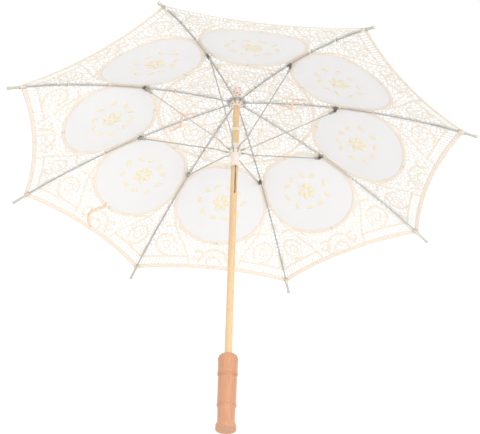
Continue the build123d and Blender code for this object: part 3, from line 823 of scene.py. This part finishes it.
def patch():
    """The patch follows the height of the canopy at each radius, with ripples that grow as (r / PATCH_R)^3
    towards its gathered edge."""
    x, y = (PATCH_R * v for v in disc_grid(PATCH_POINTS))
    r, azimuth = np.hypot(x, y), np.arctan2(y, x)
    middle = np.hypot(*(v[:-1, :-1] + v[1:, 1:] for v in (x, y))) / 2
    ripple = RIPPLE * np.cos(RIPPLES * azimuth) * (r / PATCH_R) ** 3
    z = CROWN_Z + cloth_height(r, 0 * r) + PATCH_LIFT + ripple
    low, high = (np.stack([x, y, z + half], -1) for half in (-PATCH_THICK / 2, PATCH_THICK / 2))
    return closed_sheet(low, high, middle > PATCH_HOLE_R, np.stack([x, y], -1))


crown_patch = piece("crown_patch", [patch()], cotton)
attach(crown_patch, "stick")

# ---- Threads that hold the canopy to the ribs ----------------------------------------------------
# White linen thread: a tight winding ties each corner of the hem to its rib tip, and short stitches tack
# the canopy to the rib along its length. Each is one thread wound round the wire, drawn as a thin tube.
TIP_WINDING = (371.5, 380.5)  # from one radius to the other
TIP_TURNS = 11
TIP_WINDING_R = 3.15
TACKS = (62.0, 118.0, 164.0, 236.0, 304.0)
TACK_HALF = 1.4
TACK_TURNS = 3
TACK_REACH = (1.9, 1.8, 4.2)  # to each side, below the wire's middle, above it
TURN_POINTS = 14
THREAD_R = 0.42
LINEN_PITCH = 0.7
LINEN = "#fffaf0"
LINEN_SHADE = "#efe4d2"
ACROSS = (0.31, 0.84, 0.44)  # a direction that no thread runs along


def tube(path, radius):
    """A six-sided tube along a path of points: rings of points in the plane square to the path, with
    closed ends."""
    sides = 6
    ahead = np.gradient(path, axis=0)
    ahead /= np.linalg.norm(ahead, axis=1)[:, None]
    first = np.cross(ahead, ACROSS)
    first /= np.linalg.norm(first, axis=1)[:, None]
    second = np.cross(ahead, first)
    angle = 2 * np.pi * np.arange(sides) / sides
    spokes = first[:, None] * np.cos(angle)[:, None] + second[:, None] * np.sin(angle)[:, None]
    rings = path[:, None] + radius * spokes
    i, j = np.meshgrid(np.arange(len(path) - 1), np.arange(sides), indexing="ij")
    after = (j + 1) % sides
    walls = np.stack([i * sides + j, i * sides + after, (i + 1) * sides + after, (i + 1) * sides + j], -1)
    last = (len(path) - 1) * sides
    caps = [[3, 2, 1, 0], [5, 4, 3, 0]]
    caps += [[last, last + 1, last + 2, last + 3], [last, last + 3, last + 4, last + 5]]
    faces = np.concatenate([walls.reshape(-1, 4), caps])
    run = np.concatenate([[0], np.cumsum(np.linalg.norm(np.diff(path, axis=0), axis=1))])
    uv = np.stack([np.repeat(run, sides), np.tile(radius * angle, len(path))], -1)
    return rings.reshape(-1, 3), faces, uv, np.arange(len(faces)) < walls.shape[0] * sides


def wound(start_r, end_r, turns, side_reach, low_reach, high_reach):
    """Thread wound round a rib from one radius to another: an ellipse that reaches side_reach to each side,
    low_reach below the wire's middle and high_reach above it, carried along the rib's arc."""
    t = np.linspace(0, 1, TURN_POINTS * turns + 1)
    angle = 2 * np.pi * turns * t
    r = start_r + (end_r - start_r) * t
    slope = (rib_height(r + SLOPE_STEP) - rib_height(r - SLOPE_STEP)) / (2 * SLOPE_STEP)
    size = np.hypot(1, slope)
    up = (high_reach - low_reach) / 2 + (high_reach + low_reach) / 2 * np.sin(angle)
    path = [r - up * slope / size, side_reach * np.cos(angle), CROWN_Z + rib_height(r) + up / size]
    return tube(np.stack(path, -1), THREAD_R)


linen = stitched("linen thread, waxed", LINEN, LINEN_SHADE, LINEN_PITCH)
threads = [wound(*TIP_WINDING, TIP_TURNS, TIP_WINDING_R, TIP_WINDING_R, TIP_WINDING_R)]
for tack in TACKS:
    threads.append(wound(tack - TACK_HALF, tack + TACK_HALF, TACK_TURNS, *TACK_REACH))
for k in rib_numbers:
    rib_threads = piece(f"rib_threads_{k}", threads, linen, k)
    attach(rib_threads, f"rib_{k}")

# ---- Ribbon ties on ribs 3 and 7 -----------------------------------------------------------------
# A short end of peach satin ribbon on each of two opposite ribs, in the lace of the inner part.
# It lies under the net on one side, passes below the rib, and lies under the net on the other side.
RIBBON_HALF = 1.9
RIBBON_THICK = 0.6
RIBBON_PITCH = 1.0  # several threads, because one is too fine to show
RIBBON_CORNERS = ((75.5, 5.6), (94.0, 12.5), (104.5, -12.0), (124.0, -13.5))
RIBBON_CURVE = 7  # points that each point is the mean of
BELOW_CLOTH = 0.95
BELOW_RIB = 4.9  # the further drop where it passes the rib
RIB_PASSAGE = 3.6  # half as wide as that drop
RIBBON = "#fbe0ca"
RIBBON_SHADE = "#f6cdb0"


def folded_route(corners, smooth):
    """Straight runs between the corners, with each point replaced by the mean of those near it."""
    corners = np.array(corners, float)
    share = np.linspace(0, len(corners) - 1, 91)
    x, y = (np.interp(share, np.arange(len(corners)), corners[:, i]) for i in (0, 1))
    weights = np.ones(smooth) / smooth
    x, y = (np.pad(v, smooth // 2, "reflect", reflect_type="odd") for v in (x, y))
    return np.convolve(x, weights, "valid"), np.convolve(y, weights, "valid")


satin_ribbon = stitched("satin ribbon, woven", RIBBON, RIBBON_SHADE, RIBBON_PITCH)
ribbon_x, ribbon_y = folded_route(RIBBON_CORNERS, RIBBON_CURVE)
ribbon_lift = -BELOW_CLOTH - BELOW_RIB * np.exp(-((ribbon_y / RIB_PASSAGE) ** 4))
ribbon_strip = strip(ribbon_x, ribbon_y, RIBBON_HALF, RIBBON_THICK, ribbon_lift)
for k in (3, 7):
    ribbon = piece(f"ribbon_tie_{k}", [ribbon_strip], satin_ribbon, k)
    gather_with(ribbon, k)

# ---- Tie strap and its snap ----------------------------------------------------------------------
# A loose end of the same peach ribbon, sewn under the hem, which wraps round the closed parasol.
# It curls below the lace when the parasol is open, and a small nickel snap is pressed into its end.
STRAP_RIB = 6
STRAP_HALF = 1.8
STRAP_THICK = 0.8
STRAP_R = np.array([330.5, 321.5, 309.5, 300.5, 293.0, 283.0])
STRAP_AZIMUTH = np.radians([22.5, 26.0, 27.0, 26.0, 24.5, 24.3])  # from the rib; the fold is at 22.5
STRAP_CURVE = 21  # points that each point is the mean of
PAST_FOLD = np.radians(6)
STRAP_DROP = 2.2
SNAP_R = 2.7
SNAP_POINTS = 17  # along each side of its grid
SNAP_FROM_END = 4  # points of the strap's route
SNAP_TOP = 1.2  # below the cloth, inside the strap
SNAP_RIM = 3.3
SNAP_DOME = 0.9
SNAP_BOSS = 0.5
SNAP_SHADE = "#e6e3d0"

strap_corners = np.stack([STRAP_R * np.cos(STRAP_AZIMUTH), STRAP_R * np.sin(STRAP_AZIMUTH)], -1)
strap_x, strap_y = folded_route(strap_corners, STRAP_CURVE)
strap_lift = -STRAP_DROP * np.linspace(0.25, 1, len(strap_x)) ** 0.6
strap_strip = strip(strap_x, strap_y, STRAP_HALF, STRAP_THICK, strap_lift, 1, PAST_FOLD)
strap = piece("strap_ribbon", [strap_strip], satin_ribbon, STRAP_RIB)
gather_with(strap, STRAP_RIB)
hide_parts("tie_strap")


def snap_cap(x, y):
    """A pressed cap under the strap, a disc of radius 1 drawn out to SNAP_R. Its underside has a rounded
    rim, sqrt(1 - r^6), and a boss in the middle, exp(-(r / 0.4)^4)."""
    u, v = disc_grid(SNAP_POINTS)
    r = np.hypot(u, v)
    rim, boss = np.sqrt(np.clip(1 - r**6, 0, 1)), np.exp(-((r / 0.4) ** 4))
    under = -SNAP_RIM - SNAP_DOME * rim - SNAP_BOSS * boss
    px, py = x + SNAP_R * u, y + SNAP_R * v
    keep = np.ones((SNAP_POINTS - 1, SNAP_POINTS - 1), bool)
    low, high = on_cloth(px, py, under), on_cloth(px, py, -SNAP_TOP + 0 * r)
    return closed_sheet(low, high, keep, np.stack([u, v], -1))


snap_metal = plated("brass cap, pressed and nickel-plated", SNAP_SHADE, roughness=0.4, metallic=0.4)
snap_sheet = snap_cap(strap_x[-SNAP_FROM_END], strap_y[-SNAP_FROM_END])
snap = piece("snap_cap", [snap_sheet], snap_metal, STRAP_RIB)
gather_with(snap, STRAP_RIB)
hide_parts("strap_snap")

# ---- Camera, floor and light ---------------------------------------------------------------------
# The parasol is held up open and seen from below, from a little over a metre and a half away.
# A white room lights it evenly, with one large soft lamp above and one low beside the camera.
SENSOR = 36
LENS = 87.838
eye = Vector((1.49002, 0.43893, -0.70715))
look = Vector((-0.789412, -0.226179, 0.570677)).normalized()
right = Vector((-0.259199, 0.965523, 0.024121))
right = (right - look * right.dot(look)).normalized()
turn = Matrix((right, right.cross(look), -look)).transposed()
camera_data = bpy.data.cameras.new("camera")
camera_data.sensor_width = SENSOR
camera_data.lens = LENS
camera = bpy.data.objects.new("camera", camera_data)
camera.matrix_world = Matrix.Translation(eye) @ turn.to_4x4()
bpy.context.scene.collection.objects.link(camera)
bpy.context.scene.camera = camera

FLOOR_Z = -1.35
FLOOR_HALF = 20.0
PLASTER = "#f2f1ee"
floor_mesh = bpy.data.meshes.new("floor")
corners = [(FLOOR_HALF * x, FLOOR_HALF * y, FLOOR_Z) for x, y in ((-1, -1), (1, -1), (1, 1), (-1, 1))]
floor_mesh.from_pydata(corners, [], [(0, 1, 2, 3)])
floor_mesh.materials.append(finish("plaster, painted", PLASTER, roughness=0.8))
floor = bpy.data.objects.new("floor", floor_mesh)
bpy.context.scene.collection.objects.link(floor)


def lamp(name, place, size, watts, shade):
    """A square area lamp at a place, turned to face the middle of the canopy."""
    data = bpy.data.lights.new(name, "AREA")
    data.size, data.energy, data.color = size, watts, linear(shade)[:3]
    made = bpy.data.objects.new(name, data)
    made.location = place
    made.rotation_euler = (canopy_middle - Vector(place)).to_track_quat("-Z", "Y").to_euler()
    bpy.context.scene.collection.objects.link(made)


canopy_middle = Vector((0, 0, CROWN_Z * MM))
lamp("lamp above", (1.9, 0.9, 1.5), size=1.4, watts=3, shade="#ffffff")
lamp("lamp low", (1.6, 1.5, -0.4), size=1.2, watts=16, shade="#fffaf5")
WORLD_STRENGTH = 1.15
world = bpy.data.worlds.new("white room")
world.use_nodes = True
background = world.node_tree.nodes["Background"]
background.inputs["Color"].default_value = (1, 1, 1, 1)
background.inputs["Strength"].default_value = WORLD_STRENGTH
bpy.context.scene.world = world
bpy.context.scene.view_settings.view_transform = "Standard"
